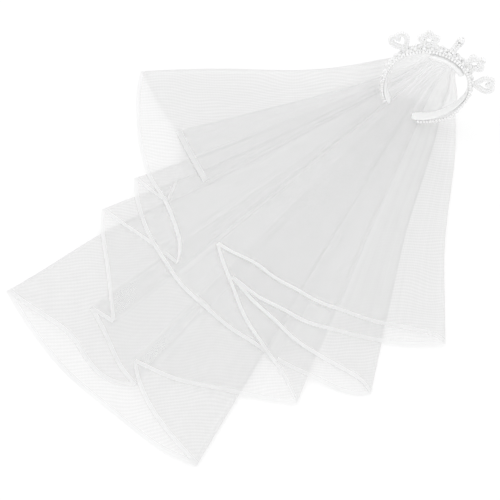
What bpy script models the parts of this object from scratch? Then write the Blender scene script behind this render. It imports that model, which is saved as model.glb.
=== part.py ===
# Bridal headband: satin band, pearl ornaments and a folded two-tier veil, in metres, up is +Z, the wearer's front is -Y.
import math

import bmesh
import bpy
from mathutils import Vector

for leftover in list(bpy.data.objects):
    bpy.data.objects.remove(leftover, do_unlink=True)

# Driving dimensions of the band
HALF_WIDTH = 0.070
CROWN_RISE = 0.0686
ARM_DROP = 0.090
TIP_ANGLE = 155.0
BAND_WIDTH = 0.012
BAND_THICK = 0.0032
LEAN = math.radians(10.0)
MIDDLE_HEIGHT = 0.1065
GAP = 0.0003

# Driving dimensions of the trim and the ornaments
LACE_THICK = 0.0012
LACE_WIDTH = 0.0145
LACE_END = 146.0
PEARL_RADIUS = 0.0026
PEARL_PITCH = 0.0078
PEARL_SIDES = 10
ORNAMENT_RADIUS = 0.0034
ORNAMENT_STEP = 30.0
ORNAMENT_MIDDLE = -2.0

# Driving dimensions of the veil
WALL = 0.0010
PITCH = 0.00135
RIBBON = 0.0050
GATHER_ANGLE = 26.0
GATHER_DEPTH = 0.0035
STRIP_ANGLE = 29.0
STRIP_THICK = 0.0050
STRIP_WIDTH = 0.0160
WAIST_LEFT = -0.085
WAIST_SPAN = 0.165
RAY_LEFT = -57.1
RAY_SPAN = 71.1
TENT_RUN = 0.30
WAIST_HEIGHT = 0.088
WAIST_BACK = 0.044
DROP_BACK = 0.070
DROP_REACH = 0.100
LONG_REACH = 0.775
SHORT_REACH = 0.552

# The part's origin is the rest mount, under the long tier's lowest layer
ORIGIN = Vector((-0.200, -0.420, 0.0))

# Waist of the veil where it leaves the band, by ray share from the left, in shares of WAIST_HEIGHT and WAIST_BACK
WAIST = [
    # share, height, back
    (-0.20, 1.000, 1.000),
    (0.00, 0.909, 0.955),
    (0.14, 0.568, 0.864),
    (0.28, 0.250, 0.750),
    (0.42, 0.068, 0.636),
    (0.56, 0.000, 0.545),
    (1.30, 0.000, 0.545),
]

# Long tier, a row for each fold or hem corner from the lowest layer up
LONG_TIER = [
    # bearing in degrees, reach as a share of LONG_REACH, turn is 1 at a fold and 0 at a hem corner
    (-9.7, 0.9626, 0),
    (-23.0, 0.9858, 0),
    (-37.4, 1.0000, 1),
    (-29.8, 0.9432, 0),
    (-21.6, 0.9148, 0),
    (-9.9, 0.9600, 1),
    (-22.2, 0.9277, 0),
    (-31.0, 0.8852, 1),
    (-1.0, 0.7548, 1),
    (-22.8, 0.8852, 0),
    (-28.2, 0.8684, 0),
    (-41.4, 0.7652, 1),
    (-29.8, 0.6968, 0),
]

# Short tier, the same columns, lying over the long tier
SHORT_TIER = [
    # bearing in degrees, reach as a share of SHORT_REACH, turn
    (-29.8, 0.9710, 0),
    (-45.5, 0.9130, 0),
    (-66.6, 0.8659, 1),
    (-51.0, 0.7790, 0),
    (-39.5, 0.8931, 1),
    (-45.0, 0.9529, 1),
    (-27.6, 1.0000, 0),
    (-6.4, 0.9837, 0),
    (10.5, 0.9638, 1),
    (-4.8, 0.9094, 0),
    (-21.6, 0.8750, 1),
    (0.9, 0.8261, 0),
    (26.9, 0.7899, 1),
    (8.3, 0.7518, 0),
    (-11.5, 0.7772, 0),
    (-28.2, 0.8351, 1),
    (-7.0, 1.0000, 0),
]

# Small inner pleat, the same columns
INNER_PLEAT = [
    # bearing in degrees, reach as a share of SHORT_REACH, turn
    (-53.4, 0.7808, 0),
    (-40.7, 0.7627, 0),
]


def material(name, colour, roughness):
    mat = bpy.data.materials.new(name)
    mat.use_nodes = True
    shader = mat.node_tree.nodes["Principled BSDF"]
    shader.inputs["Base Color"].default_value = (colour[0], colour[1], colour[2], 1.0)
    shader.inputs["Roughness"].default_value = roughness
    return mat


SATIN = material("satin", (0.86, 0.86, 0.86), 0.35)
LACE = material("lace", (0.84, 0.84, 0.84), 0.70)
PEARL = material("pearl", (0.86, 0.86, 0.87), 0.22)
ORGANZA = material("organza", (0.88, 0.88, 0.89), 0.60)
RIBBON_SATIN = material("ribbon_satin", (0.90, 0.90, 0.90), 0.35)


def add_object(name, points, faces, mat):
    bm = bmesh.new()
    verts = [bm.verts.new(Vector(p) - ORIGIN) for p in points]
    for face in faces:
        bm.faces.new([verts[i] for i in face])
    bmesh.ops.recalc_face_normals(bm, faces=bm.faces)
    bmesh.ops.triangulate(bm, faces=bm.faces)
    if bm.calc_volume(signed=True) < 0.0:
        bmesh.ops.reverse_faces(bm, faces=bm.faces)
    mesh = bpy.data.meshes.new(name)
    bm.to_mesh(mesh)
    bm.free()
    mesh.materials.append(mat)
    obj = bpy.data.objects.new(name, mesh)
    bpy.context.scene.collection.objects.link(obj)
    return obj


def lofted(name, rings, closed, mat):
    count = len(rings[0])
    points = [p for ring in rings for p in ring]
    faces = []
    steps = len(rings) if closed else len(rings) - 1
    for j in range(steps):
        k = (j + 1) % len(rings)
        for i in range(count):
            n = (i + 1) % count
            faces.append((j * count + i, j * count + n, k * count + n, k * count + i))
    if not closed:
        faces.append(tuple(range(count)))
        faces.append(tuple((len(rings) - 1) * count + i for i in range(count)))
    return add_object(name, points, faces, mat)


# Band frame: x to the wearer's left hand side of the picture, y back, z up from the widest line
def band_point(angle, out=0.0, depth=0.0):
    t = math.radians(angle)
    rise = CROWN_RISE if abs(angle) <= 90.0 else ARM_DROP
    centre = Vector((HALF_WIDTH * math.sin(t), 0.0, rise * math.cos(t)))
    normal = Vector((math.sin(t) / HALF_WIDTH, 0.0, math.cos(t) / rise)).normalized()
    p = centre + normal * out
    return leaned(p.x, depth, p.z)


def leaned(x, y, z):
    back = y * math.cos(LEAN) + z * math.sin(LEAN)
    up = z * math.cos(LEAN) - y * math.sin(LEAN) + MIDDLE_HEIGHT
    return Vector((x, back, up))


def arc_angles(limit, pitch, out):
    # Angles along the band at equal steps of arc length
    fine = [-limit + 2.0 * limit * i / 1200.0 for i in range(1201)]
    total = [0.0]
    for a, b in zip(fine[:-1], fine[1:]):
        total.append(total[-1] + (band_point(b, out) - band_point(a, out)).length)
    count = max(2, round(total[-1] / pitch))
    angles = []
    k = 0
    for i in range(count + 1):
        want = total[-1] * i / count
        while k < 1199 and total[k + 1] < want:
            k += 1
        share = (want - total[k]) / max(total[k + 1] - total[k], 1e-9)
        angles.append(fine[k] + (fine[k + 1] - fine[k]) * share)
    return angles


def strip_along(name, inner, thick, width, limit, steps, mat, taper):
    # Flat padded strip following the band, its ends narrowed to rounded tips
    rings = []
    for i in range(steps + 1):
        share = i / steps
        angle = limit * (2.0 * share - 1.0)
        end = min(share, 1.0 - share) / taper
        scale = 1.0 if end >= 1.0 else 0.45 + 0.55 * math.sqrt(max(0.0, 1.0 - (1.0 - end) ** 2))
        half = width * 0.5 * scale
        crown = thick * (0.62 if end < 0.02 else 1.0)
        base = inner + (thick - crown) * 0.5
        section = [
            (base, -half * 0.55), (base + crown * 0.22, -half), (base + crown * 0.78, -half), (base + crown, -half * 0.55),
            (base + crown, half * 0.55), (base + crown * 0.78, half), (base + crown * 0.22, half), (base, half * 0.55),
        ]
        rings.append([band_point(angle, out, depth) for out, depth in section])
    return lofted(name, rings, False, mat)


def bead_rings(centres, sides, across, radius, neck, closed):
    # Rings of a string of round beads fused at narrow necks, three rings to a bead
    rings = []
    count = len(centres)
    last = count if closed else count - 1
    for i in range(last):
        here, there = centres[i], centres[(i + 1) % count]
        before = centres[i - 1] if (closed or i > 0) else here - (there - here)
        for share, size in ((0.0, radius), (0.34, neck), (0.66, neck)):
            p = here.lerp(there, share)
            direction = (there - before).lerp(there - here, min(1.0, share * 2.0)).normalized()
            if share > 0.5:
                after = centres[(i + 2) % count] if (closed or i + 2 < count) else there + (there - here)
                direction = (there - here).lerp(after - here, share - 0.5).normalized()
            side = across.cross(direction).normalized()
            ring = []
            for k in range(sides):
                a = 2.0 * math.pi * k / sides
                ring.append(p + side * (size * math.cos(a)) + across * (size * math.sin(a)))
            rings.append(ring)
    return rings


# Band, lace strip and pearl edge
strip_along("band", -BAND_THICK, BAND_THICK, BAND_WIDTH, TIP_ANGLE, 36, SATIN, 0.03)
strip_along("lace_strip", GAP, LACE_THICK, LACE_WIDTH, LACE_END, 34, LACE, 0.02)

ACROSS = Vector((0.0, math.cos(LEAN), -math.sin(LEAN)))
EDGE_OUT = GAP + LACE_THICK * 0.5
EDGE_DEPTH = -(LACE_WIDTH * 0.5 + PEARL_RADIUS + GAP)
edge_angles = arc_angles(LACE_END - 1.0, PEARL_PITCH, EDGE_OUT)
edge_centres = [band_point(a, EDGE_OUT, EDGE_DEPTH) for a in edge_angles]
lofted("pearl_edge", bead_rings(edge_centres, PEARL_SIDES, ACROSS, PEARL_RADIUS, PEARL_RADIUS * 0.55, False), False, PEARL)


# Ornament outlines, sideways and up, in units of the half width and the height
def heart_outline(count):
    points = []
    for i in range(count):
        t = 2.0 * math.pi * i / count
        x = math.sin(t) ** 3
        y = (13.0 * math.cos(t) - 5.0 * math.cos(2.0 * t) - 2.0 * math.cos(3.0 * t) - math.cos(4.0 * t)) / 29.0
        points.append((x, y + 0.586))
    return points


def star_outline(count):
    points = []
    for i in range(count):
        t = 2.0 * math.pi * i / count
        radius = 0.78 + 0.22 * math.cos(5.0 * t)
        points.append((radius * math.sin(t), 0.5 + 0.5 * radius * math.cos(t)))
    return points


def even_spacing(points, count):
    loop = points + [points[0]]
    total = [0.0]
    for a, b in zip(loop[:-1], loop[1:]):
        total.append(total[-1] + math.hypot(b[0] - a[0], b[1] - a[1]))
    spaced = []
    k = 0
    for i in range(count):
        want = total[-1] * i / count
        while k < len(total) - 2 and total[k + 1] < want:
            k += 1
        share = (want - total[k]) / max(total[k + 1] - total[k], 1e-9)
        spaced.append(tuple(loop[k][c] + (loop[k + 1][c] - loop[k][c]) * share for c in (0, 1)))
    return spaced


ORNAMENTS = [
    # name, shape, half width, height, beads, place in steps from the middle
    ("ornament_heart_left", "heart", 0.0118, 0.0285, 14, -2),
    ("ornament_star_left", "star", 0.0130, 0.0280, 10, -1),
    ("ornament_finial", "finial", 0.0, 0.0290, 6, 0),
    ("ornament_star_right", "star", 0.0130, 0.0280, 10, 1),
    ("ornament_heart_right", "heart", 0.0118, 0.0285, 14, 2),
]

for name, shape, half, height, beads, place in ORNAMENTS:
    angle = ORNAMENT_MIDDLE + ORNAMENT_STEP * place
    seat = {"heart": 1.0, "star": 0.62, "finial": 0.66}[shape]
    foot = band_point(angle, 2.0 * GAP + LACE_THICK + ORNAMENT_RADIUS * seat)
    up = (band_point(angle, 0.01) - band_point(angle, 0.0)).normalized()
    along = (band_point(angle + 0.5) - band_point(angle - 0.5)).normalized()
    if shape == "finial":
        rings = []
        tower = [(0.0, 1.15), (0.22, 0.85), (0.42, 1.0), (0.62, 0.85), (0.82, 1.2), (1.0, 0.75)]
        for share, size in tower:
            r = ORNAMENT_RADIUS * size
            for lift, wide in ((-0.75, 0.62), (0.0, 1.0), (0.75, 0.62)):
                c = foot + up * (height * share + r * (0.15 * size) + lift * r)
                ring = []
                for k in range(PEARL_SIDES):
                    a = 2.0 * math.pi * k / PEARL_SIDES
                    ring.append(c + along * (r * wide * math.cos(a)) + ACROSS * (r * wide * math.sin(a)))
                rings.append(ring)
        lofted(name, rings, False, PEARL)
        continue
    outline = heart_outline(240) if shape == "heart" else star_outline(beads)
    flat = [(x * half, y * height) for x, y in outline]
    if shape == "heart":
        flat = even_spacing(flat, beads)
    lowest = min(y for _, y in flat)
    centres = [foot + along * x + up * (y - lowest) for x, y in flat]
    lofted(name, bead_rings(centres, PEARL_SIDES, ACROSS, ORNAMENT_RADIUS, ORNAMENT_RADIUS * 0.62, True), True, PEARL)

# Gather strip, a padded bar on the inner face of the crown
STRIP_INNER = -(BAND_THICK + GAP + STRIP_THICK)
strip_along("gather_strip", STRIP_INNER, STRIP_THICK, STRIP_WIDTH, STRIP_ANGLE, 10, SATIN, 0.11)


# Veil: rays run from the gather down behind the band and out over the floor
def table_value(rows, share, column):
    # Piecewise linear column smoothed over a small window
    total = 0.0
    window = (-0.08, -0.04, 0.0, 0.04, 0.08)
    for shift in window:
        x = share + shift
        value = rows[-1][column]
        for low, high in zip(rows[:-1], rows[1:]):
            if x <= high[0]:
                t = min(max((x - low[0]) / (high[0] - low[0]), 0.0), 1.0)
                value = low[column] + (high[column] - low[column]) * t
                break
        total += value
    return total / len(window)


def ray_direction(share):
    angle = math.radians(RAY_LEFT + RAY_SPAN * share)
    return Vector((math.sin(angle), -math.cos(angle), 0.0))


def waist(share):
    height = WAIST_HEIGHT * table_value(WAIST, share, 1)
    back = WAIST_BACK * table_value(WAIST, share, 2)
    return Vector((WAIST_LEFT + WAIST_SPAN * share, back, height))


def veil_base(share, run):
    # run below 0 is the drop behind the band, from -1 at the gather; above 0 it is metres from the waist
    low = waist(share)
    aim = ray_direction(share)
    slope = -2.0 * low.z / TENT_RUN
    if run >= 0.0:
        left = max(0.0, 1.0 - run / TENT_RUN)
        return Vector((low.x + aim.x * run, low.y + aim.y * run, low.z * left * left))
    s = run + 1.0
    start = band_point(GATHER_ANGLE * (2.0 * share - 1.0), STRIP_INNER - 1.5 * GAP, GATHER_DEPTH)
    drop = start.z - low.z
    leave = Vector(((low.x - start.x) * 0.5, DROP_BACK, -0.90 * drop))
    reach = DROP_REACH + 0.70 * drop
    arrive = Vector((aim.x * reach, aim.y * reach, slope * reach))
    h00 = 2.0 * s ** 3 - 3.0 * s ** 2 + 1.0
    h10 = s ** 3 - 2.0 * s ** 2 + s
    h01 = 3.0 * s ** 2 - 2.0 * s ** 3
    h11 = s ** 3 - s ** 2
    return start * h00 + leave * h10 + low * h01 + arrive * h11


def veil_frame(share, run):
    ds = 0.004
    dr = 0.004
    along = veil_base(share, run + dr) - veil_base(share, run - dr)
    if abs(run) < dr:
        along = veil_base(share, dr) - veil_base(share, 0.0)
    side = veil_base(share + ds, run) - veil_base(share - ds, run)
    normal = side.cross(-along).normalized()
    if run > 0.0 and normal.z < 0.0:
        normal = -normal
    return normal, max(side.length / (2.0 * ds), 1e-5)


KNOTS = (-0.10, 0.0, 0.10, 0.20, 0.31, 0.42, 0.56, 0.78, 1.0, 1.10)


def cloth_point(share, run, height):
    # All layers lie on the same facets between knot rays, so that they never meet
    k = 0
    while k < len(KNOTS) - 2 and share > KNOTS[k + 1]:
        k += 1
    ends = []
    for knot in (KNOTS[k], KNOTS[k + 1]):
        normal, _ = veil_frame(knot, run)
        ends.append(veil_base(knot, run) + normal * height)
    t = (share - KNOTS[k]) / (KNOTS[k + 1] - KNOTS[k])
    return ends[0].lerp(ends[1], t)


def ray_share(bearing, reach):
    # Share and run of the ray that meets a hem point given by bearing and reach about the band's foot
    t = math.radians(bearing)
    point = Vector((reach * math.sin(t), -reach * math.cos(t), 0.0))
    low, high = -0.4, 1.4
    for _ in range(60):
        mid = 0.5 * (low + high)
        start = waist(mid)
        aim = ray_direction(mid)
        offset = (point.x - start.x) * aim.y - (point.y - start.y) * aim.x
        if offset > 0.0:
            high = mid
        else:
            low = mid
    start = waist(mid)
    aim = ray_direction(mid)
    run = (point.x - start.x) * aim.x + (point.y - start.y) * aim.y
    return mid, run


def section_curve(rows, length, first_height):
    # Middle line of the folded cloth at the hem: share, run, height, bend offset, normal
    hems = [(ray_share(bearing, reach * length), turn) for bearing, reach, turn in rows]
    curve = []
    height = first_height
    for i, ((share, run), turn) in enumerate(hems):
        if i > 0:
            (before, before_run), _ = hems[i - 1]
            sense = 1.0 if share > before else -1.0
            between = [k for k in KNOTS if min(share, before) + 0.02 < k < max(share, before) - 0.02]
            for knot in between[::int(sense)]:
                t = (knot - before) / (share - before)
                curve.append((before + (share - before) * t, before_run + (run - before_run) * t, height, 0.0, (0.0, sense)))
        if turn:
            radius = PITCH * 0.5
            sense = 1.0 if share > hems[i - 1][0][0] else -1.0
            for a in (-90.0, -30.0, 30.0, 90.0):
                c, s = math.cos(math.radians(a)), math.sin(math.radians(a))
                curve.append((share, run, height + radius + radius * s, sense * (radius * c - radius), (-c, -s * sense)))
            height += PITCH
        else:
            near = hems[i - 1][0][0] if i > 0 else 2.0 * share - hems[i + 1][0][0]
            sense = 1.0 if share > near else -1.0
            curve.append((share, run, height, 0.0, (0.0, sense)))
    return curve, height


DROP_STATIONS = (-1.0, -0.82, -0.64, -0.46, -0.29, -0.13)
OUT_STATIONS = (0.0, 0.04, 0.09, 0.15, 0.22, TENT_RUN)


def folded_sheet(name, rows, length, first_height, mat, ribbon_mat):
    curve, last_height = section_curve(rows, length, first_height)
    rings = []
    for station in DROP_STATIONS + OUT_STATIONS + ("cloth", "gap", "hem"):
        plus, minus = [], []
        for share, run, height, offset, (nq, nh) in curve:
            if station == "cloth":
                d = run - RIBBON - GAP
            elif station == "gap":
                d = run - RIBBON
            elif station == "hem":
                d = run
            else:
                d = station
            _, metric = veil_frame(share, d)
            for side, store in ((1.0, plus), (-1.0, minus)):
                q = share + (offset + side * WALL * 0.5 * nq) / metric
                store.append(cloth_point(q, d, height + side * WALL * 0.5 * nh))
        rings.append(plus + minus[::-1])
    count = len(curve)
    for label, chosen, used in ((name, rings[:-2], mat), (name + "_ribbon", rings[-2:], ribbon_mat)):
        points = [p for ring in chosen for p in ring]
        size = 2 * count
        faces = []
        for j in range(len(chosen) - 1):
            for i in range(size):
                n = (i + 1) % size
                faces.append((j * size + i, j * size + n, (j + 1) * size + n, (j + 1) * size + i))
        for j in (0, len(chosen) - 1):
            for i in range(count - 1):
                a, b = j * size + i, j * size + i + 1
                c, d = j * size + (size - 2 - i), j * size + (size - 1 - i)
                faces.append((a, b, c, d))
        add_object(label, points, faces, used)
    return last_height


top = folded_sheet("veil_long", LONG_TIER, LONG_REACH, WALL * 0.5, ORGANZA, RIBBON_SATIN)
low = top + PITCH
folded_sheet("veil_short", SHORT_TIER, SHORT_REACH, low, ORGANZA, RIBBON_SATIN)
folded_sheet("veil_pleat", INNER_PLEAT, SHORT_REACH, low + 4.15 * PITCH, ORGANZA, RIBBON_SATIN)
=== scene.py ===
# Dressed model of the bridal headband and its veil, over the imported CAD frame
import math
import random
import bmesh
import bpy
import numpy as np
from mathutils import Matrix, Vector


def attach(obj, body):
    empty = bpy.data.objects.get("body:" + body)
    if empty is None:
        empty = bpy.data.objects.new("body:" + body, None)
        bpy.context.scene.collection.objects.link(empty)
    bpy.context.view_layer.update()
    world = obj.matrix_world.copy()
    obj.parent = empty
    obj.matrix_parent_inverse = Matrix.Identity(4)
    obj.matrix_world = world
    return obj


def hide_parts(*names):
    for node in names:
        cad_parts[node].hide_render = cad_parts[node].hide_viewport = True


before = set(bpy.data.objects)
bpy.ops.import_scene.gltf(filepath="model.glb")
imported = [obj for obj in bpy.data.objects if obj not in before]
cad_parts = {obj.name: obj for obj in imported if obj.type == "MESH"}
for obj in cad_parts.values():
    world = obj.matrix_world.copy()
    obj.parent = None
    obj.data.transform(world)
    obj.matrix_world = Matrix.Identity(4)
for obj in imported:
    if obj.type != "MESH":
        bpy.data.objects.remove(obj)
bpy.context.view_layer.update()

random.seed(7)
scene = bpy.context.scene

# Band: arch and lean as in the part, with a larger section and a longer right arm
HALF_WIDTH = 0.070
CROWN_RISE = 0.0686
ARM_DROP = 0.090
TIP_ANGLE = 155.0
RIGHT_TIP = 163.0
BAND_WIDTH = 0.0185
BAND_THICK = 0.0036
LEAN = math.radians(10.0)
MIDDLE_HEIGHT = 0.1065
ORIGIN = np.array((-0.200, -0.420, 0.0))
GAP = 0.0001

# Lace strip, a little longer and bunched thicker where it turns at the right
LACE_THICK = 0.0012
LACE_WIDTH = 0.0175
LACE_END = 146.0
LACE_MORE = 8.0
ELBOW_ANGLE = 116.0
ELBOW_SPREAD = 18.0
ELBOW_BULK = 0.0055

# Gather pad inside the crown
STRIP_ANGLE = 29.0
STRIP_MORE = 6.0
STRIP_THICK = 0.0050
STRIP_SWELL = 0.0035
STRIP_WIDTH = 0.0190
STRIP_SHIFT = -0.0055
STRIP_INNER = -(BAND_THICK + GAP + STRIP_THICK)

# Veil: gather, waist and rays as in the part, its layers closer and its ribbons wider
PITCH = 0.00042
RIBBON = 0.0064
PLEAT_RIBBON = 0.0105
GATHER_ANGLE = 26.0
GATHER_DEPTH = 0.0035
WAIST_LEFT = -0.085
WAIST_SPAN = 0.165
RAY_LEFT = -57.1
RAY_SPAN = 71.1
TENT_RUN = 0.30
DROP_BACK = 0.070
DROP_SINK = 0.90
ARRIVE_REACH = 0.10
ARRIVE_MORE = 0.70

# Heights of each tier's lowest layer over the floor
LONG_BASE = 0.0005
SHORT_BASE = LONG_BASE + 6.5 * PITCH
PLEAT_BASE = SHORT_BASE + 4.15 * PITCH

# Right side: all layers bulge towards the arm from this share of the width on, near the gather
BULGE_RIGHT = 0.031
BULGE_FROM = 0.62
BULGE_BLEND = 0.38
BULGE_END = 0.30

# Left side: all layers sag to the front up to this share of the width
SAG_LEFT = 0.018
SAG_TO = 0.34
SAG_SINK = 0.25
SAG_HOLD = 0.06
SAG_FADE = 0.36

# Part of the drop from the gather over which bulge and sag set in
SWAY_START = 0.95
SWAY_BLEND = 0.60

# Places where the outline bows outwards: share, run, width in share, width in run, metres
BOWS = [
    (0.30, 0.60, 0.07, 0.11, 0.011),
    (0.00, 0.24, 0.14, 0.14, 0.010),
]

# Radial folds: rise in metres, waves over the width, their wander and how often it comes back
PLEATS = (0.0005, 95.0, 1.4, 21.0)
WIDE_WAVES = (0.0020, 41.0, 2.2, 9.0)
BROAD_WAVES = (0.0024, 17.0)
PLEAT_REACH = 0.10
WAVE_REACH = 0.25

# Waist of the veil, where its drop from the gather ends: share of the width, height, place to the back
WAIST = [
    (-0.20, 0.088, 0.044),
    (0.00, 0.080, 0.042),
    (0.14, 0.050, 0.038),
    (0.28, 0.022, 0.033),
    (0.42, 0.006, 0.028),
    (0.56, 0.000, 0.024),
    (1.30, 0.000, 0.024),
]
WAIST_BLUR = (-0.08, -0.04, 0.0, 0.04, 0.08)

# Folded cloth as a chain of layers from end to end. A layer has its level in the stack and its hem,
# which is a row of points given by bearing in degrees and reach in metres. Neighbours meet in a fold.
LONG_TIER = [
    (5, [(-27.5, 0.546), (-20.0, 0.546), (-11.0, 0.542), (-6.7, 0.546), (-3.6, 0.568), (-1.4, 0.588)]),
    (4, [(-1.4, 0.588), (-4.6, 0.602), (-8.3, 0.615), (-14.3, 0.644), (-18.4, 0.668), (-22.8, 0.686)]),
    (3, [(-22.8, 0.686), (-21.3, 0.703), (-16.8, 0.723), (-12.6, 0.738), (-9.8, 0.745)]),
    (0, [(-9.8, 0.745), (-14.0, 0.758), (-18.4, 0.757), (-22.5, 0.763), (-27.7, 0.772), (-33.1, 0.775),
         (-37.4, 0.774)]),
    (1, [(-37.4, 0.774), (-35.6, 0.763), (-33.5, 0.751), (-31.4, 0.738), (-29.8, 0.729), (-28.0, 0.732),
         (-26.4, 0.738), (-23.3, 0.737), (-22.2, 0.730), (-20.8, 0.710)]),
    (2, [(-20.8, 0.710), (-22.4, 0.713), (-23.5, 0.708), (-27.5, 0.690), (-31.0, 0.686)]),
    (3, [(-31.0, 0.686), (-28.2, 0.671)]),
    (4, [(-28.2, 0.671), (-31.0, 0.652), (-34.3, 0.630), (-39.1, 0.606), (-41.4, 0.592)]),
    (5, [(-41.4, 0.592), (-38.7, 0.577), (-35.0, 0.554), (-29.8, 0.536)]),
]
SHORT_TIER = [
    (3, [(-29.6, 0.536), (-30.6, 0.519), (-34.0, 0.506), (-39.3, 0.495), (-45.5, 0.504), (-53.3, 0.498),
         (-57.7, 0.491), (-62.5, 0.486), (-66.6, 0.478)]),
    (2, [(-66.6, 0.478), (-64.2, 0.464), (-58.4, 0.447), (-54.5, 0.430), (-51.0, 0.428), (-44.4, 0.450),
         (-39.4, 0.493)]),
    (1, [(-39.4, 0.493), (-42.6, 0.512), (-45.4, 0.524)]),
    (0, [(-45.4, 0.524), (-43.2, 0.532), (-39.7, 0.540), (-35.0, 0.550), (-27.6, 0.552), (-20.6, 0.548),
         (-11.6, 0.543), (-6.4, 0.543), (-0.5, 0.541), (3.7, 0.543), (8.8, 0.541), (10.6, 0.531)]),
    (5, [(10.6, 0.531), (9.6, 0.515), (5.1, 0.509), (0.1, 0.507), (-4.8, 0.502), (-15.8, 0.486),
         (-21.6, 0.482)]),
    (6, [(-21.6, 0.482), (-16.6, 0.477), (-10.7, 0.470), (-4.8, 0.465), (0.9, 0.456), (8.9, 0.445),
         (15.8, 0.442), (26.9, 0.436)]),
    (7, [(26.9, 0.436), (26.3, 0.424), (17.3, 0.413), (8.3, 0.415), (-2.7, 0.423), (-11.5, 0.429),
         (-20.7, 0.436), (-28.2, 0.461)]),
    (4, [(-28.2, 0.461), (-21.4, 0.488), (-12.5, 0.530), (-7.0, 0.550)]),
]
INNER_PLEAT = [
    (0, [(-40.7, 0.421), (-47.0, 0.424), (-53.4, 0.431)]),
    (1, [(-53.4, 0.431), (-47.0, 0.424), (-40.9, 0.421)]),
    (2, [(-40.9, 0.421), (-47.0, 0.424), (-53.4, 0.432)]),
]

# Bearings of the folds that make the outline and show as a darker line
OUTER_FOLDS = (-66.6, -45.4, -41.4, -37.4, -9.8, -1.4, 10.6, 26.9)

# Sampling of the cloth: spacing along a hem, metres for the whole width, rounding of its corners
CELL = 0.0045
SHARE_LENGTH = 0.9
ROUNDING_PASSES = 29
FOLD_ARC = (-60.0, -30.0, 0.0, 30.0, 60.0)
SHARE_SEARCH = (-0.4, 1.4)
HALVINGS = 50
FOLD_SIDE, FOLD_REST = 0.88, 0.12
DROP_STATIONS = np.linspace(-1.0, 0.0, 26)[:-1]
OUT_STATIONS = np.linspace(0.0, 1.0, 56)
HEM_STATIONS = 6

# Line along an outer fold: width in metres over which it fades, and how many such widths it reaches
FOLD_FADE = 0.0022
FOLD_REACH = 1.6

# Ribbon: part of its width under which the cloth ends, seat over the cloth and swell of its middle
RIBBON_LAP = 0.9
RIBBON_SEAT = 0.00005
RIBBON_SWELL = 0.00012

# Texture lengths: drop from the gather, and cloth over the whole width
DROP_LENGTH = 0.17
CLOTH_WIDTH = 0.95

# Layers that cover in full, part of the cover that each further layer adds, blur of the layers' edges
FREE_LAYERS = 2.6
NESTED_SHARE = 0.08
SPAN_BLUR = 0.008


# Band frame, as in the part
def leaned(x, y, z):
    back = y * math.cos(LEAN) + z * math.sin(LEAN)
    up = z * math.cos(LEAN) - y * math.sin(LEAN) + MIDDLE_HEIGHT
    return Vector((x - ORIGIN[0], back - ORIGIN[1], up))


def band_point(angle, out=0.0, depth=0.0):
    t = math.radians(angle)
    rise = CROWN_RISE if abs(angle) <= 90.0 else ARM_DROP
    normal = Vector((math.sin(t) / HALF_WIDTH, 0.0, math.cos(t) / rise)).normalized()
    p = Vector((HALF_WIDTH * math.sin(t), 0.0, rise * math.cos(t))) + normal * out
    return leaned(p.x, depth, p.z)


ACROSS = Vector((0.0, math.cos(LEAN), -math.sin(LEAN)))


# Veil base surface, as in the part, with arrays in place of single numbers. Share goes over the width
# from left to right, and run from -1 at the gather to 0 at the waist, then outwards in metres.
def table_value(rows, share, column):
    xs = np.array([r[0] for r in rows])
    ys = np.array([r[column] for r in rows])
    total = 0.0
    for shift in WAIST_BLUR:
        total = total + np.interp(np.asarray(share, float) + shift, xs, ys)
    return total / len(WAIST_BLUR)


def ray_aim(share):
    angle = np.radians(RAY_LEFT + RAY_SPAN * np.asarray(share, float))
    return np.stack([np.sin(angle), -np.cos(angle), np.zeros_like(angle)], -1)


def waist(share):
    share = np.asarray(share, float)
    x = WAIST_LEFT + WAIST_SPAN * share
    return np.stack([x, table_value(WAIST, share, 2), table_value(WAIST, share, 1)], -1)


def gather(share):
    share = np.asarray(share, float)
    t = np.radians(GATHER_ANGLE * (2.0 * share - 1.0))
    nx, nz = np.sin(t) / HALF_WIDTH, np.cos(t) / CROWN_RISE
    size = np.hypot(nx, nz)
    out = STRIP_INNER - 1.5 * GAP
    x = HALF_WIDTH * np.sin(t) + nx / size * out
    z = CROWN_RISE * np.cos(t) + nz / size * out
    back = GATHER_DEPTH * math.cos(LEAN) + z * math.sin(LEAN)
    up = z * math.cos(LEAN) - GATHER_DEPTH * math.sin(LEAN) + MIDDLE_HEIGHT
    return np.stack([x, back, up], -1)


def veil_base(share, run):
    share, run = np.broadcast_arrays(np.asarray(share, float), np.asarray(run, float))
    low, aim = waist(share), ray_aim(share)
    slope = -2.0 * low[..., 2] / TENT_RUN
    left = np.clip(1.0 - np.maximum(run, 0.0) / TENT_RUN, 0.0, None)
    out = low + aim * np.maximum(run, 0.0)[..., None]
    out[..., 2] = low[..., 2] * left * left
    s = np.clip(run + 1.0, 0.0, 1.0)[..., None]
    start = gather(share)
    drop = start[..., 2] - low[..., 2]
    leave_x = (low[..., 0] - start[..., 0]) * 0.5
    leave = np.stack([leave_x, np.full_like(drop, DROP_BACK), -DROP_SINK * drop], -1)
    reach = ARRIVE_REACH + ARRIVE_MORE * drop
    arrive = np.stack([aim[..., 0] * reach, aim[..., 1] * reach, slope * reach], -1)
    from_start = start * (2 * s**3 - 3 * s**2 + 1) + leave * (s**3 - 2 * s**2 + s)
    fall = from_start + low * (3 * s**2 - 2 * s**3) + arrive * (s**3 - s**2)
    return np.where((run < 0.0)[..., None], fall, out)


def veil_normal(share, run):
    # Normal of the base surface, and metres per share across it
    step = 0.004
    low_run = np.where(np.abs(run) < step, 0.0, run - step)
    along = veil_base(share, run + step) - veil_base(share, low_run)
    side = veil_base(share + step, run) - veil_base(share - step, run)
    n = np.cross(side, -along)
    n /= np.linalg.norm(n, axis=-1, keepdims=True)
    return n, np.linalg.norm(side, axis=-1) / (2 * step)


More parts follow.
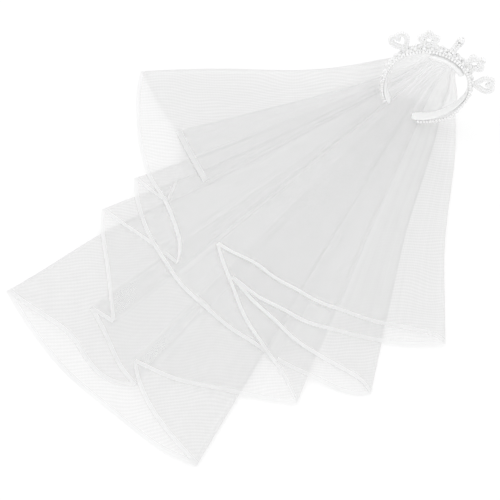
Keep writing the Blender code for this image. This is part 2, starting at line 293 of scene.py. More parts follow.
def ripple(share, run):
    # Soft radial folds that all layers share: small pleats at the gather that open into wide waves
    out = np.maximum(run, 0.0)
    near = np.clip(1.0 + np.minimum(run, 0.0), 0.0, 1.0)
    grow = np.clip(out / WAVE_REACH, 0.0, 1.0)
    rise, waves, wander, often = PLEATS
    fine = 1.0 + np.sin(share * waves + wander * np.sin(share * often))
    pleats = rise * (0.35 + 0.65 * near) * np.exp(-out / PLEAT_REACH) * fine
    rise, waves, wander, often = WIDE_WAVES
    wide = rise * grow * (1.0 + np.sin(share * waves + wander * np.sin(share * often + out * 2.0)))
    rise, waves = BROAD_WAVES
    broad = rise * grow * (1.0 + np.sin(share * waves + 0.8 + out * 3.0))
    return pleats + wide + broad


def smooth_step(x):
    x = np.clip(x, 0.0, 1.0)
    return x * x * (3.0 - 2.0 * x)


def sway(share, run):
    # Sideways moves that all layers share: the bulge at the right, the sag at the left and the bows
    share, run = np.broadcast_arrays(np.asarray(share, float), np.asarray(run, float))
    drop = smooth_step((run + SWAY_START) / SWAY_BLEND)
    right = smooth_step((share - BULGE_FROM) / BULGE_BLEND) * drop * (1.0 - smooth_step(run / BULGE_END))
    sag_run = 1.0 - smooth_step((run - SAG_HOLD) / SAG_FADE)
    left = smooth_step((SAG_TO - share) / SAG_TO) * drop * sag_run
    bow = np.zeros_like(run)
    for at_share, at_run, wide, long, amount in BOWS:
        bow = bow + amount * np.exp(-((share - at_share) / wide) ** 2 - ((run - at_run) / long) ** 2)
    aim = ray_aim(share)
    move = np.stack([BULGE_RIGHT * right, -SAG_LEFT * left, -SAG_SINK * SAG_LEFT * left], -1)
    return move + np.stack([aim[..., 1], -aim[..., 0], np.zeros_like(bow)], -1) * bow[..., None]


def cloth_point(share, run, height):
    n, _ = veil_normal(share, run)
    lifted = n * (np.asarray(height) + ripple(share, run))[..., None]
    return veil_base(share, run) + sway(share, run) + lifted - ORIGIN


def ray_share(bearing, reach):
    # Share and run of a place on the floor, given by bearing and reach from below the band's middle
    t = math.radians(bearing)
    px, py = reach * math.sin(t), -reach * math.cos(t)
    low, high = SHARE_SEARCH
    for _ in range(HALVINGS):
        mid = 0.5 * (low + high)
        start, aim = waist(mid), ray_aim(mid)
        if (px - start[0]) * aim[1] - (py - start[1]) * aim[0] > 0.0:
            high = mid
        else:
            low = mid
    return mid, (px - start[0]) * aim[0] + (py - start[1]) * aim[1]


def hem_samples(hem):
    # Evenly spaced share and run along one layer's hem, with its corners rounded
    ends = [ray_share(bearing, reach) for bearing, reach in hem]
    share = np.array([e[0] for e in ends])
    run = np.array([e[1] for e in ends])
    length = np.r_[0.0, np.cumsum(np.hypot(np.diff(share) * SHARE_LENGTH, np.diff(run)))]
    count = max(4, int(length[-1] / CELL))
    want = np.linspace(0.0, length[-1], count + 1)
    share, run = np.interp(want, length, share), np.interp(want, length, run)
    for _ in range(ROUNDING_PASSES):
        share[1:-1] = 0.25 * share[:-2] + 0.5 * share[1:-1] + 0.25 * share[2:]
        run[1:-1] = 0.25 * run[:-2] + 0.5 * run[1:-1] + 0.25 * run[2:]
    return share, run


def beside_folds(values):
    # Adds a point close to each end, so that the line along a fold stays narrow
    first = FOLD_SIDE * values[0] + FOLD_REST * values[1]
    last = FOLD_REST * values[-2] + FOLD_SIDE * values[-1]
    return np.insert(values, [1, len(values) - 1], [first, last])


def section_curve(layers, first_height):
    # Middle line of the folded cloth: share, run at the hem, height, bend offset, distance in share
    # from the nearest outer fold
    curve = []
    for i, (level, hem) in enumerate(layers):
        share, run = hem_samples(hem)
        share, run = beside_folds(share), beside_folds(run)
        height = first_height + level * PITCH
        sense = 1.0 if share[-1] > share[0] else -1.0
        for j in range(len(share)):
            near = [1.0]
            if i > 0 and hem[0][0] in OUTER_FOLDS:
                near.append(abs(share[j] - share[0]))
            if i < len(layers) - 1 and hem[-1][0] in OUTER_FOLDS:
                near.append(abs(share[j] - share[-1]))
            curve.append((share[j], run[j], height, 0.0, min(near)))
        if i < len(layers) - 1:
            step = (layers[i + 1][0] - level) * PITCH
            radius = abs(step) * 0.5
            at_fold = 0.0 if hem[-1][0] in OUTER_FOLDS else 1.0
            # Round bend that joins this layer to the next
            for bend in FOLD_ARC:
                c, s = math.cos(math.radians(bend)), math.sin(math.radians(bend))
                middle = height + 0.5 * step + 0.5 * step * s
                curve.append((share[-1], run[-1], middle, sense * radius * c, at_fold))
    return np.array(curve)


# Share range of each layer of the cloth, with the run of its hem
SPANS = []
for tier_layers in (LONG_TIER, SHORT_TIER, INNER_PLEAT):
    for _, layer_hem in tier_layers:
        hem_share, hem_run = hem_samples(layer_hem)
        order = np.argsort(hem_share)
        SPANS.append((hem_share[order], hem_run[order]))


def nesting(share, run):
    # Where many layers lie on each other their meshes settle together, so that each one covers less
    count = np.zeros_like(share)
    for hem_share, hem_run in SPANS:
        edge = np.minimum(share - hem_share[0], hem_share[-1] - share)
        inside = np.clip(edge / SPAN_BLUR + 0.5, 0.0, 1.0)
        within = np.clip((np.interp(share, hem_share, hem_run) - run) / SPAN_BLUR + 0.5, 0.0, 1.0)
        count = count + inside * within
    count = np.maximum(count, 1.0)
    nested = FREE_LAYERS + (count - FREE_LAYERS) * NESTED_SHARE
    return np.where(count > FREE_LAYERS, nested, count) / count


def finished(name, mesh, mat):
    mesh.materials.append(mat)
    obj = bpy.data.objects.new(name, mesh)
    scene.collection.objects.link(obj)
    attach(obj, "root")
    return obj


def grid_mesh(name, points, uvs, attributes, mat):
    rows, columns = points.shape[:2]
    index = np.arange(rows * columns).reshape(rows, columns)
    corners = [index[:-1, :-1], index[:-1, 1:], index[1:, 1:], index[1:, :-1]]
    quads = np.stack(corners, -1).reshape(-1, 4)
    mesh = bpy.data.meshes.new(name)
    mesh.from_pydata(points.reshape(-1, 3).tolist(), [], quads.tolist())
    layer = mesh.uv_layers.new(name="UVMap")
    corner_uvs = uvs.reshape(-1, 2)[quads.reshape(-1)]
    layer.data.foreach_set("uv", corner_uvs.astype(np.float32).ravel())
    for key, values in attributes.items():
        attribute = mesh.attributes.new(key, "FLOAT", "POINT")
        attribute.data.foreach_set("value", values.reshape(-1).astype(np.float32))
    mesh.polygons.foreach_set("use_smooth", [True] * len(mesh.polygons))
    return finished(name, mesh, mat)


def tier(name, layers, first_height, width, cloth, satin):
    # One folded sheet of cloth from the gather to its hem, and the ribbon that edges it
    share, run, height, offset, near_fold = section_curve(layers, first_height).T
    cloth_rows, uv_rows, fold_rows, nest_rows = [], [], [], []
    far = run - width * RIBBON_LAP
    stations = [("drop", d) for d in DROP_STATIONS] + [("out", s) for s in OUT_STATIONS]
    for kind, value in stations:
        d = np.full_like(share, value) if kind == "drop" else far * value
        _, metric = veil_normal(share, d)
        q = share + offset / np.maximum(metric, 1e-4)
        cloth_rows.append(cloth_point(q, d, height))
        length = DROP_LENGTH * (value + 1.0) if kind == "drop" else DROP_LENGTH + d
        uv_rows.append(np.stack([q * CLOTH_WIDTH, np.zeros_like(q) + length], -1))
        nest_rows.append(nesting(share, d))
        distance = near_fold * np.maximum(metric, 0.1)
        fold_rows.append(np.clip(FOLD_REACH - distance / FOLD_FADE, 0.0, 1.0))
    attributes = {"fold": np.array(fold_rows), "nest": np.array(nest_rows)}
    veil = grid_mesh(name, np.array(cloth_rows), np.array(uv_rows), attributes, cloth)
    hem_rows, hem_uv = [], []
    lateral = np.cumsum(np.r_[0.0, np.linalg.norm(np.diff(cloth_rows[-1], axis=0), axis=1)])
    for k, back in enumerate(np.linspace(width, 0.0, HEM_STATIONS)):
        d = run - back
        _, metric = veil_normal(share, d)
        q = share + offset / np.maximum(metric, 1e-4)
        lift = RIBBON_SEAT + RIBBON_SWELL * math.sin(math.pi * k / (HEM_STATIONS - 1.0))
        hem_rows.append(cloth_point(q, d, height + lift))
        hem_uv.append(np.stack([lateral, np.full_like(lateral, width - back)], -1))
    ribbon_name = name + "_ribbon_satin"
    ribbon = grid_mesh(ribbon_name, np.array(hem_rows), np.array(hem_uv), {}, satin)
    return veil, ribbon


# Materials
def new_material(name):
    mat = bpy.data.materials.new(name)
    mat.use_nodes = True
    tree = mat.node_tree
    return mat, tree, tree.nodes["Principled BSDF"], tree.nodes["Material Output"]


def node(tree, kind, **values):
    n = tree.nodes.new(kind)
    for key, value in values.items():
        if hasattr(n, key):
            setattr(n, key, value)
        else:
            n.inputs[key].default_value = value
    return n


# Cover of the organza's threads: lowest and highest share of the surface, and what the weave and an
# outer fold add
COVER_LOW = 0.45
COVER_HIGH = 0.49
COVER_WEAVE = 0.05
COVER_FOLD = 0.34
THREAD_SCALE = 170.0

# Tint of the organza near the gather, where it is pressed in pleats and its colour is painted lighter as
# painted light against the shade under the arch, and further out, and the share of its light that comes
# through
PAINTED_LIGHT_TINT_NEAR = 0.960
TINT_FAR = 0.850
ORGANZA_THROUGH = 0.14

# Bunched threads of the net: direction, wavelength in metres, distortion and added cover. They are
# turned against the veil, and calm down where many layers nest.
NET_WAVES = (("Y", 0.0050, 30.0, 0.044), ("X", 0.0046, 4.0, 0.012))
NET_TURN = -27.0
NET_CALM = 4.0
WAVES_PER_SCALE = 20.0


def organza_material():
    mat, tree, shader, output = new_material("organza_weave")
    link = tree.links.new
    shader.inputs["Roughness"].default_value = 0.55
    uv = node(tree, "ShaderNodeUVMap", uv_map="UVMap")
    # Tint that changes with the distance from the gather: painted light, paler near the gather where the
    # arch shades the cloth
    split = node(tree, "ShaderNodeSeparateXYZ")
    link(uv.outputs[0], split.inputs[0])
    # Painted light: the cloth's colour is lighter near the gather, standing in for light in the shade
    # under the arch
    painted_light_ramp = node(tree, "ShaderNodeMapRange")
    painted_light_ramp.inputs["From Min"].default_value = 0.08
    painted_light_ramp.inputs["From Max"].default_value = 0.26
    painted_light_ramp.inputs["To Min"].default_value = PAINTED_LIGHT_TINT_NEAR
    painted_light_ramp.inputs["To Max"].default_value = TINT_FAR
    link(split.outputs["Y"], painted_light_ramp.inputs["Value"])
    tint_and_painted_light = node(tree, "ShaderNodeCombineColor")
    for channel in ("Red", "Green", "Blue"):
        link(painted_light_ramp.outputs["Result"], tint_and_painted_light.inputs[channel])
    link(tint_and_painted_light.outputs[0], shader.inputs["Base Color"])
    # Threads of the weave, crossed
    threads = []
    for direction in ("X", "Y"):
        thread = node(tree, "ShaderNodeTexWave", wave_type="BANDS", bands_direction=direction)
        thread.inputs["Scale"].default_value = THREAD_SCALE
        thread.inputs["Distortion"].default_value = 0.6
        link(uv.outputs[0], thread.inputs["Vector"])
        threads.append(thread)
    weave = node(tree, "ShaderNodeMath", operation="MAXIMUM")
    link(threads[0].outputs["Fac"], weave.inputs[0])
    link(threads[1].outputs["Fac"], weave.inputs[1])
    # Long soft streaks that run with the folds
    stretch = node(tree, "ShaderNodeMapping")
    stretch.inputs["Scale"].default_value = (60.0, 2.2, 1.0)
    link(uv.outputs[0], stretch.inputs["Vector"])
    streak = node(tree, "ShaderNodeTexNoise")
    streak.inputs["Scale"].default_value = 1.0
    streak.inputs["Detail"].default_value = 4.0
    streak.inputs["Roughness"].default_value = 0.6
    link(stretch.outputs[0], streak.inputs["Vector"])
    # Cover of the threads: share of the surface that isn't open mesh
    cover = node(tree, "ShaderNodeMapRange")
    cover.inputs["From Min"].default_value = 0.3
    cover.inputs["From Max"].default_value = 0.7
    cover.inputs["To Min"].default_value = COVER_LOW
    cover.inputs["To Max"].default_value = COVER_HIGH
    link(streak.outputs["Fac"], cover.inputs["Value"])
    covered = node(tree, "ShaderNodeMath", operation="MULTIPLY_ADD")
    covered.inputs[1].default_value = COVER_WEAVE
    link(weave.outputs[0], covered.inputs[0])
    link(cover.outputs["Result"], covered.inputs[2])
    # Bands where the threads of the net bunch, which stacked layers turn into a watered pattern
    coord = node(tree, "ShaderNodeTexCoord")
    turned = node(tree, "ShaderNodeMapping")
    turned.inputs["Rotation"].default_value = (0.0, 0.0, math.radians(NET_TURN))
    link(coord.outputs["Object"], turned.inputs["Vector"])
    nest = node(tree, "ShaderNodeAttribute", attribute_name="nest")
    calm = node(tree, "ShaderNodeMath", operation="POWER")
    calm.inputs[1].default_value = NET_CALM
    link(nest.outputs["Fac"], calm.inputs[0])
    for direction, wavelength, distortion, amount in NET_WAVES:
        net = node(tree, "ShaderNodeTexWave", wave_type="BANDS", bands_direction=direction)
        net.inputs["Scale"].default_value = 2.0 * math.pi / (WAVES_PER_SCALE * wavelength)
        net.inputs["Distortion"].default_value = distortion
        net.inputs["Detail"].default_value = 1.0
        net.inputs["Detail Scale"].default_value = 0.12
        link(turned.outputs[0], net.inputs["Vector"])
        centred = node(tree, "ShaderNodeMath", operation="SUBTRACT")
        centred.inputs[1].default_value = 0.5
        link(net.outputs["Fac"], centred.inputs[0])
        calmed = node(tree, "ShaderNodeMath", operation="MULTIPLY")
        link(centred.outputs[0], calmed.inputs[0])
        link(calm.outputs[0], calmed.inputs[1])
        added = node(tree, "ShaderNodeMath", operation="MULTIPLY_ADD")
        added.inputs[1].default_value = amount
        link(calmed.outputs[0], added.inputs[0])
        link(covered.outputs[0], added.inputs[2])
        covered = added
    nested = node(tree, "ShaderNodeMath", operation="MULTIPLY")
    link(covered.outputs[0], nested.inputs[0])
    link(nest.outputs["Fac"], nested.inputs[1])
    # Darker line along the outer folds
    fold = node(tree, "ShaderNodeAttribute", attribute_name="fold")
    creased = node(tree, "ShaderNodeMath", operation="MULTIPLY_ADD", use_clamp=True)
    creased.inputs[1].default_value = COVER_FOLD
    link(fold.outputs["Fac"], creased.inputs[0])
    link(nested.outputs[0], creased.inputs[2])
    bump = node(tree, "ShaderNodeBump")
    bump.inputs["Strength"].default_value = 0.25
    bump.inputs["Distance"].default_value = 0.0004
    link(streak.outputs["Fac"], bump.inputs["Height"])
    link(bump.outputs["Normal"], shader.inputs["Normal"])
    through = node(tree, "ShaderNodeBsdfTranslucent")
    link(tint_and_painted_light.outputs[0], through.inputs["Color"])
    cloth = node(tree, "ShaderNodeMixShader")
    cloth.inputs["Fac"].default_value = ORGANZA_THROUGH
    link(shader.outputs[0], cloth.inputs[1])
    link(through.outputs[0], cloth.inputs[2])
    clear = node(tree, "ShaderNodeBsdfTransparent")
    mix = node(tree, "ShaderNodeMixShader")
    link(creased.outputs[0], mix.inputs["Fac"])
    link(clear.outputs[0], mix.inputs[1])
    link(cloth.outputs[0], mix.inputs[2])
    link(mix.outputs[0], output.inputs["Surface"])
    return mat


def satin_material(name, grey, scale, strength, sheen):
    mat, tree, shader, _ = new_material(name)
    link = tree.links.new
    shader.inputs["Base Color"].default_value = (grey, grey, grey, 1.0)
    shader.inputs["Sheen Weight"].default_value = sheen
    shader.inputs["Sheen Roughness"].default_value = 0.35
    shader.inputs["Anisotropic"].default_value = 0.4
    coord = node(tree, "ShaderNodeTexCoord")
    rough = node(tree, "ShaderNodeTexNoise")
    rough.inputs["Scale"].default_value = 90.0
    rough.inputs["Detail"].default_value = 5.0
    link(coord.outputs["Object"], rough.inputs["Vector"])
    spread = node(tree, "ShaderNodeMapRange")
    spread.inputs["To Min"].default_value = 0.32
    spread.inputs["To Max"].default_value = 0.50
    link(rough.outputs["Fac"], spread.inputs["Value"])
    link(spread.outputs["Result"], shader.inputs["Roughness"])
    weave = node(tree, "ShaderNodeTexWave", wave_type="BANDS", bands_direction="DIAGONAL")
    weave.inputs["Scale"].default_value = scale
    weave.inputs["Distortion"].default_value = 1.5
    link(coord.outputs["Object"], weave.inputs["Vector"])
    bump = node(tree, "ShaderNodeBump")
    bump.inputs["Strength"].default_value = strength
    bump.inputs["Distance"].default_value = 0.0002
    link(weave.outputs["Fac"], bump.inputs["Height"])
    link(bump.outputs["Normal"], shader.inputs["Normal"])
    return mat


def let_light_through(mat, grey, share):
    # Adds light passing through a thin ribbon
    tree = mat.node_tree
    shader, output = tree.nodes["Principled BSDF"], tree.nodes["Material Output"]
    through = node(tree, "ShaderNodeBsdfTranslucent")
    through.inputs["Color"].default_value = (grey, grey, grey, 1.0)
    mix = node(tree, "ShaderNodeMixShader")
    mix.inputs["Fac"].default_value = share
    tree.links.new(shader.outputs[0], mix.inputs[1])
    tree.links.new(through.outputs[0], mix.inputs[2])
    tree.links.new(mix.outputs[0], output.inputs["Surface"])


def two_tone(tree, value, low, low_colour, high, high_colour):
    # Colour ramp between two places of a value
    ramp = node(tree, "ShaderNodeValToRGB")
    ramp.color_ramp.elements[0].position = low
    ramp.color_ramp.elements[0].color = (*low_colour, 1.0)
    ramp.color_ramp.elements[1].position = high
    ramp.color_ramp.elements[1].color = (*high_colour, 1.0)
    tree.links.new(value, ramp.inputs["Fac"])
    return ramp.outputs["Color"]


def pearl_material():
    mat, tree, shader, _ = new_material("pearl_lustre")
    link = tree.links.new
    shader.inputs["Roughness"].default_value = 0.24
    shader.inputs["Coat Weight"].default_value = 0.5
    shader.inputs["Coat Roughness"].default_value = 0.12
    coord = node(tree, "ShaderNodeTexCoord")
    noise = node(tree, "ShaderNodeTexNoise")
    noise.inputs["Scale"].default_value = 260.0
    link(coord.outputs["Object"], noise.inputs["Vector"])
    tone = two_tone(tree, noise.outputs["Fac"], 0.35, (0.88, 0.88, 0.87), 0.65, (0.95, 0.95, 0.96))
    link(tone, shader.inputs["Base Color"])
    return mat


def lace_material():
    mat, tree, shader, _ = new_material("lace_thread")
    link = tree.links.new
    shader.inputs["Roughness"].default_value = 0.75
    coord = node(tree, "ShaderNodeTexCoord")
    cells = node(tree, "ShaderNodeTexVoronoi", feature="DISTANCE_TO_EDGE")
    cells.inputs["Scale"].default_value = 520.0
    link(coord.outputs["Object"], cells.inputs["Vector"])
    tone = two_tone(tree, cells.outputs["Distance"], 0.04, (0.96, 0.96, 0.96), 0.16, (0.90, 0.90, 0.90))
    link(tone, shader.inputs["Base Color"])
    bump = node(tree, "ShaderNodeBump", invert=True)
    bump.inputs["Strength"].default_value = 0.35
    bump.inputs["Distance"].default_value = 0.0006
    link(cells.outputs["Distance"], bump.inputs["Height"])
    link(bump.outputs["Normal"], shader.inputs["Normal"])
    return mat


ORGANZA = organza_material()
RIBBON_SATIN = satin_material("ribbon_satin_weave", grey=0.88, scale=900.0, strength=0.04, sheen=0.20)
SATIN = satin_material("band_satin_weave", grey=0.94, scale=700.0, strength=0.35, sheen=0.25)
PEARL = pearl_material()
LACE = lace_material()
let_light_through(RIBBON_SATIN, grey=0.94, share=0.30)

# Veil
long_veil, long_ribbon = tier("veil_long_cloth", LONG_TIER, LONG_BASE, RIBBON, ORGANZA, RIBBON_SATIN)
short_veil, short_ribbon = tier("veil_short_cloth", SHORT_TIER, SHORT_BASE, RIBBON, ORGANZA, RIBBON_SATIN)
pleat_veil, pleat_ribbon = tier(
    "veil_pleat_cloth", INNER_PLEAT, PLEAT_BASE, PLEAT_RIBBON, ORGANZA, RIBBON_SATIN
)
for cloth, ribbon, name in (
    (long_veil, long_ribbon, "veil_long"),
    (short_veil, short_ribbon, "veil_short"),
    (pleat_veil, pleat_ribbon, "veil_pleat"),
):
    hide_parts(name)
    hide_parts(name + "_ribbon")


# Headband
def mesh_object(name, verts, faces, mat, smooth=True):
    mesh = bpy.data.meshes.new(name)
    mesh.from_pydata([tuple(v) for v in verts], [], faces)
    bm = bmesh.new()
    bm.from_mesh(mesh)
    bmesh.ops.recalc_face_normals(bm, faces=bm.faces)
    bm.to_mesh(mesh)
    bm.free()
    mesh.polygons.foreach_set("use_smooth", [smooth] * len(mesh.polygons))
    return finished(name, mesh, mat)


def tube_faces(steps, around):
    # Quads between neighbouring sections, with a cap on each end
    faces = []
    for i in range(steps):
        for k in range(around):
            n = (k + 1) % around
            faces.append((i * around + k, i * around + n, (i + 1) * around + n, (i + 1) * around + k))
    faces.append(tuple(range(around)))
    faces.append(tuple(steps * around + k for k in range(around)))
    return faces


# Padded section: exponents of its rounding, its size at the tips and what it gains from there
FLATNESS = 0.45
ROUNDNESS = 0.8
TIP_WIDTH, WIDTH_GAIN = 0.40, 0.60
TIP_BODY, BODY_GAIN = 0.55, 0.45
CREASE = 0.10
AROUND = 20


def padded_strip(name, inner, thick, width, limits, steps, taper, shift):
    # Rounded padded strip along the band, with the slight creases of cloth wound round it
    verts = []
    for i in range(steps + 1):
        share = i / steps
        angle = limits[0] + (limits[1] - limits[0]) * share
        end = min(share, 1.0 - share) / taper
        scale = 1.0 if end >= 1.0 else math.sqrt(max(0.02, 1.0 - (1.0 - end) ** 2))
        half = width * 0.5 * (TIP_WIDTH + WIDTH_GAIN * scale)
        body = thick * 0.5 * (TIP_BODY + BODY_GAIN * scale)
        for k in range(AROUND):
            a = 2.0 * math.pi * k / AROUND
            c, s = math.cos(a), math.sin(a)
            y = half * math.copysign(abs(c) ** FLATNESS, c)
            r = body * math.copysign(abs(s) ** ROUNDNESS, s)
            crease = CREASE * math.sin(angle * 1.9 + 2.0 * c + 0.8 * math.sin(angle * 0.37))
            out = inner + thick * 0.5 + r * (1.0 + crease)
            verts.append(band_point(angle, out, shift + y * (1.0 + 0.2 * crease)))
    return mesh_object(name, verts, tube_faces(steps, AROUND), SATIN)


band = padded_strip(
    "band_satin", -BAND_THICK, BAND_THICK, BAND_WIDTH,
    (-TIP_ANGLE, RIGHT_TIP), steps=260, taper=0.03, shift=0.0
)
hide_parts("band")
pad = padded_strip(
    "gather_pad", STRIP_INNER - STRIP_SWELL, STRIP_THICK + STRIP_SWELL, STRIP_WIDTH,
    (-STRIP_ANGLE, STRIP_ANGLE + STRIP_MORE), steps=90, taper=0.11, shift=STRIP_SHIFT
)
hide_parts("gather_strip")


def trim_bulk(angle):
    # The trim is bunched thicker where it turns at the right
    return ELBOW_BULK * math.exp(-((angle - ELBOW_ANGLE) / ELBOW_SPREAD) ** 2)


# Lace strip with a scalloped edge: its section as shares of half the width and of the thickness
LACE_SECTION = ((-1.0, 0.0), (-1.0, 0.8), (-0.5, 1.1), (0.0, 1.0), (0.5, 1.1), (1.0, 0.8), (1.0, 0.0))
LACE_STEPS = 420
SCALLOP = 0.0009
SCALLOP_ROOT = 0.0007
KNOB = 0.0002

verts = []
for i in range(LACE_STEPS + 1):
    angle = -LACE_END + (2.0 * LACE_END + LACE_MORE) * i / LACE_STEPS
    scallop = SCALLOP * abs(math.sin(angle * 0.42))
    for depth, out in LACE_SECTION:
        half = LACE_WIDTH * 0.5 - SCALLOP_ROOT + (scallop if abs(depth) == 1.0 else 0.0)
        knob = KNOB * math.sin(angle * 2.7 + depth * 5.0)
        thick = (LACE_THICK + trim_bulk(angle)) * out
        verts.append(band_point(angle, GAP + thick + (knob if out > 0.0 else 0.0), half * depth))
lace_faces = tube_faces(LACE_STEPS, len(LACE_SECTION))
lace = mesh_object("lace_scallops", verts, lace_faces, LACE, smooth=False)
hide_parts("lace_strip")


# Pearls joined in one mesh
def ball(segments=12, rings=8):
    verts = [(0.0, 0.0, 1.0)]
    faces = []
    for j in range(1, rings):
        t = math.pi * j / rings
        for i in range(segments):
            a = 2.0 * math.pi * i / segments
            verts.append((math.sin(t) * math.cos(a), math.sin(t) * math.sin(a), math.cos(t)))
    verts.append((0.0, 0.0, -1.0))
    last = len(verts) - 1
    for i in range(segments):
        n = (i + 1) % segments
        faces.append((0, 1 + i, 1 + n))
        for j in range(rings - 2):
            a = 1 + j * segments
            faces.append((a + i, a + segments + i, a + segments + n, a + n))
        faces.append((last, last - segments + n, last - segments + i))
    return np.array(verts), faces


BALL_VERTS, BALL_FACES = ball()


def pearls(name, centres, radii):
    verts, faces = [], []
    for centre, radius in zip(centres, radii):
        base = len(verts)
        verts.extend((np.array(centre) + BALL_VERTS * radius).tolist())
        faces.extend(tuple(base + i for i in f) for f in BALL_FACES)
    mesh = bpy.data.meshes.new(name)
    mesh.from_pydata(verts, [], faces)
    mesh.polygons.foreach_set("use_smooth", [True] * len(mesh.polygons))
    return finished(name, mesh, PEARL)


EDGE_OUT = GAP + LACE_THICK * 0.5
FINE_STEPS = 1600


def spaced_angles(limit, pitch):
    # Angles along the trim that lie evenly apart
    fine = np.linspace(-limit, limit + LACE_MORE, FINE_STEPS)
    pts = np.array([band_point(a, EDGE_OUT) for a in fine])
    total = np.r_[0.0, np.cumsum(np.linalg.norm(np.diff(pts, axis=0), axis=1))]
    count = int(total[-1] / pitch)
    return np.interp(np.linspace(0.0, total[-1], count + 1), total, fine)


# String of pearls along the outer edge of the lace
EDGE_PITCH = 0.0054
EDGE_RADIUS = 0.0025
EDGE_SPREAD = 0.0002
EDGE_LIFT = 0.0006
EDGE_DEPTH = -(LACE_WIDTH * 0.5 + 0.0022)

centres, radii = [], []
for angle in spaced_angles(LACE_END - 1.0, EDGE_PITCH):
    radii.append(EDGE_RADIUS + EDGE_SPREAD * random.uniform(-1.0, 1.0))
    centres.append(band_point(angle, EDGE_OUT + EDGE_LIFT + 0.7 * trim_bulk(angle), EDGE_DEPTH))
edge = pearls("pearl_edge_string", centres, radii)
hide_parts("pearl_edge")

# Small beads in rows over the lace, some of them missing, with larger pearls in between
BEAD_ROWS = (-0.0076, -0.0046, -0.0015, 0.0015, 0.0046, 0.0076)
BEAD_PITCH = 0.0032
BEAD_MISSING = 0.12
BEAD_RADIUS = 0.0015
BEAD_MORE = 0.0005
BEAD_STAGGER = 1.2
BEAD_TURN = 0.3
BEAD_SHIFT = 0.0004
LARGE_ROWS = ((-0.0005,), (-0.0055, 0.0050))
LARGE_PITCH = 0.0068
LARGE_RADIUS = 0.0027
LARGE_MORE = 0.0004
LARGE_TURN = 0.6

centres, radii = [], []
for row, depth in enumerate(BEAD_ROWS):
    for place in spaced_angles(LACE_END - 2.0, BEAD_PITCH):
        if random.random() < BEAD_MISSING:
            continue
        r = BEAD_RADIUS + BEAD_MORE * random.random()
        angle = place + (BEAD_STAGGER if row % 2 else 0.0) + random.uniform(-BEAD_TURN, BEAD_TURN)
        out = GAP + LACE_THICK + trim_bulk(angle) + r * 0.6
        centres.append(band_point(angle, out, depth + random.uniform(-BEAD_SHIFT, BEAD_SHIFT)))
        radii.append(r)
for n, place in enumerate(spaced_angles(LACE_END - 3.0, LARGE_PITCH)):
    for depth in LARGE_ROWS[n % 2]:
        r = LARGE_RADIUS + LARGE_MORE * random.random()
        out = GAP + LACE_THICK + trim_bulk(place) + r * 0.9
        centres.append(band_point(place + random.uniform(-LARGE_TURN, LARGE_TURN), out, depth))
        radii.append(r)
pearls("lace_beads", centres, radii)


# Ornaments: outlines in shares of half their width and of their height
def heart_outline(count):
    points = []
    for i in range(count):
        t = 2.0 * math.pi * i / count
        y = 13.0 * math.cos(t) - 5.0 * math.cos(2.0 * t) - 2.0 * math.cos(3.0 * t) - math.cos(4.0 * t)
        points.append((math.sin(t) ** 3, y / 29.0 + 0.586))
    return points


def star_outline(count):
    points = []
    for i in range(count):
        t = 2.0 * math.pi * i / count
        radius = 0.76 + 0.24 * math.cos(5.0 * t)
        points.append((radius * math.sin(t), 0.5 + 0.5 * radius * math.cos(t)))
    return points


# Places in degrees, sizes in metres, and the heights of the seats in ornament radii
ORNAMENT_STEP = 30.0
ORNAMENT_MIDDLE = -2.0
ORNAMENT_RADIUS = 0.0034
ORNAMENT_HEIGHT = 0.0320
OUTLINE_POINTS = 240
HALF_WIDTHS = {"heart": 0.0140, "star": 0.0150}
SEATS = {"heart": 1.0, "star": 0.62, "finial": 0.66}
ORNAMENTS = [
    ("ornament_heart_left", "heart", -2),
    ("ornament_star_left", "star", -1),
    ("ornament_finial", "finial", 0),
    ("ornament_star_right", "star", 1),
    ("ornament_heart_right", "heart", 2),
]

# Rows of pearls along an ornament's outline: place across the stroke, radius, pitch, depths
PEARL_ROWS = [
    (-0.0023, 0.0022, 0.0038, (-0.0016, 0.0016)),
    (0.0000, 0.0019, 0.0028, (-0.0010, 0.0010)),
    (0.0023, 0.0022, 0.0038, (-0.0016, 0.0016)),
]
PEARL_MORE = 0.0001

# Finial: clusters up its height with their sizes, rings of pearls in each, and the pearls' radius
TOWER = [(0.0, 1.15), (0.20, 0.80), (0.40, 0.85), (0.60, 0.80), (0.80, 1.15), (1.0, 0.70)]
TOWER_RINGS = ((-0.55, 7), (0.0, 8), (0.55, 7))
TOWER_SIZE = 2.1
TOWER_WIDE = 0.72
TOWER_PEARL = 0.0021


def even_loop(points, pitch):
    p = np.array(points + [points[0]])
    total = np.r_[0.0, np.cumsum(np.linalg.norm(np.diff(p, axis=0), axis=1))]
    count = max(6, int(round(total[-1] / pitch)))
    want = np.linspace(0.0, total[-1], count, endpoint=False)
    return np.stack([np.interp(want, total, p[:, 0]), np.interp(want, total, p[:, 1])], 1)


def finial_pearls(foot, up, along):
    centres = []
    for lift, size in TOWER:
        middle = foot + up * (ORNAMENT_HEIGHT * lift + ORNAMENT_RADIUS * size * 0.15 * size)
        r = ORNAMENT_RADIUS * TOWER_SIZE * size
        for ring_lift, count in TOWER_RINGS:
            wide = r * TOWER_WIDE * math.sqrt(1.0 - ring_lift ** 2)
            for k in range(count):
                a = 2.0 * math.pi * (k + 0.5 * (ring_lift != 0.0)) / count
                across = ACROSS * (wide * math.sin(a))
                centres.append(middle + up * (r * ring_lift) + along * (wide * math.cos(a)) + across)
    return centres, [TOWER_PEARL] * len(centres)


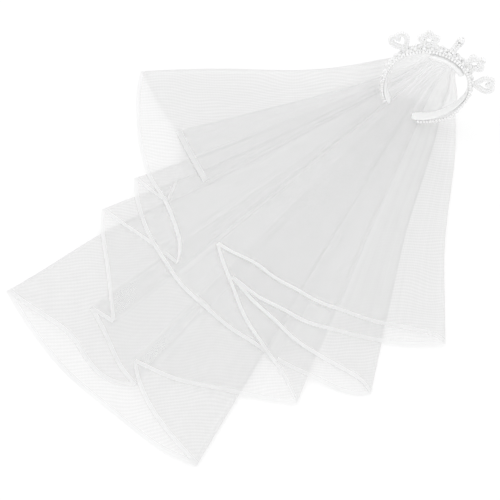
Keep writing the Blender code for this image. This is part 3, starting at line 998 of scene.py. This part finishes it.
def outline_pearls(foot, up, along, shape):
    outline = heart_outline(OUTLINE_POINTS) if shape == "heart" else star_outline(OUTLINE_POINTS)
    stroke = np.array([(x * HALF_WIDTHS[shape], y * ORNAMENT_HEIGHT) for x, y in outline])
    stroke[:, 1] -= stroke[:, 1].min()
    centres, radii = [], []
    for lateral, size, pitch, depths in PEARL_ROWS:
        loop = []
        for i in range(len(stroke)):
            before, after = stroke[i - 1], stroke[(i + 1) % len(stroke)]
            tangent = (after - before) / max(np.linalg.norm(after - before), 1e-9)
            loop.append(tuple(stroke[i] + np.array((tangent[1], -tangent[0])) * lateral))
        for x, y in even_loop(loop, pitch):
            for depth in depths:
                centres.append(foot + along * float(x) + up * float(y) + ACROSS * depth)
                radii.append(size + PEARL_MORE * random.random())
    return centres, radii


for name, shape, place in ORNAMENTS:
    angle = ORNAMENT_MIDDLE + ORNAMENT_STEP * place
    foot = band_point(angle, 2.0 * GAP + LACE_THICK + ORNAMENT_RADIUS * SEATS[shape])
    up = (band_point(angle, 0.01) - band_point(angle, 0.0)).normalized()
    along = (band_point(angle + 0.5) - band_point(angle - 0.5)).normalized()
    if shape == "finial":
        centres, radii = finial_pearls(foot, up, along)
    else:
        centres, radii = outline_pearls(foot, up, along, shape)
    jewel = pearls(name + "_pearls", centres, radii)
    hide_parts(name)

# Floor, which gives a little light of its own
FLOOR_HALF = 6.0
FLOOR_DROP = 0.0004
floor_corners = [(-FLOOR_HALF, -FLOOR_HALF, 0.0), (FLOOR_HALF, -FLOOR_HALF, 0.0),
                 (FLOOR_HALF, FLOOR_HALF, 0.0), (-FLOOR_HALF, FLOOR_HALF, 0.0)]
floor_mesh = bpy.data.meshes.new("floor")
floor_mesh.from_pydata(floor_corners, [], [(0, 1, 2, 3)])
floor = bpy.data.objects.new("floor", floor_mesh)
scene.collection.objects.link(floor)
floor.location.z = -FLOOR_DROP
floor_mat, _, floor_shader, _ = new_material("floor_white")
floor_shader.inputs["Base Color"].default_value = (0.70, 0.70, 0.70, 1.0)
floor_shader.inputs["Roughness"].default_value = 0.9
floor_shader.inputs["Specular IOR Level"].default_value = 0.0
floor_shader.inputs["Emission Color"].default_value = (1.0, 1.0, 1.0, 1.0)
floor_shader.inputs["Emission Strength"].default_value = 0.29
floor_mesh.materials.append(floor_mat)

# Light: a white surround and one soft lamp from the left
world = bpy.data.worlds.new("studio")
world.use_nodes = True
world.node_tree.nodes["Background"].inputs["Color"].default_value = (1.0, 1.0, 1.0, 1.0)
world.node_tree.nodes["Background"].inputs["Strength"].default_value = 1.00
scene.world = world

KEY_PLACE = Vector((-1.6, -0.2, 2.6))
key_light = bpy.data.lights.new("key", "AREA")
key_light.shape = "DISK"
key_light.size = 1.4
key_light.energy = 10.0
key = bpy.data.objects.new("key", key_light)
key.location = KEY_PLACE
key.rotation_euler = (-KEY_PLACE).to_track_quat("-Z", "Y").to_euler()
scene.collection.objects.link(key)
scene.view_settings.view_transform = "Standard"
scene.cycles.transparent_max_bounces = 64
scene.cycles.diffuse_bounces = 8
scene.cycles.max_bounces = 16

# Camera, placed by a fit to the band's outline: its axes, its place from the band, its focal length
# and frame in pixels
RIGHT = Vector((0.8838, 0.3199, 0.3415))
DOWN = Vector((0.4314, -0.8396, -0.3302))
FORWARD = Vector((0.1811, 0.4391, -0.8800))
CAMERA_PLACE = (-0.4221, -1.0128, 1.2576)
SENSOR_WIDTH = 36.0
FOCAL_PIXELS = 900.0
FRAME_PIXELS = 500.0
camera_data = bpy.data.cameras.new("camera")
camera_data.sensor_width = SENSOR_WIDTH
camera_data.sensor_fit = "HORIZONTAL"
camera_data.lens = SENSOR_WIDTH * FOCAL_PIXELS / FRAME_PIXELS
camera = bpy.data.objects.new("camera", camera_data)
camera.matrix_world = Matrix((
    (RIGHT.x, -DOWN.x, -FORWARD.x, CAMERA_PLACE[0] - ORIGIN[0]),
    (RIGHT.y, -DOWN.y, -FORWARD.y, CAMERA_PLACE[1] - ORIGIN[1]),
    (RIGHT.z, -DOWN.z, -FORWARD.z, CAMERA_PLACE[2]),
    (0.0, 0.0, 0.0, 1.0),
))
scene.collection.objects.link(camera)
scene.camera = camera
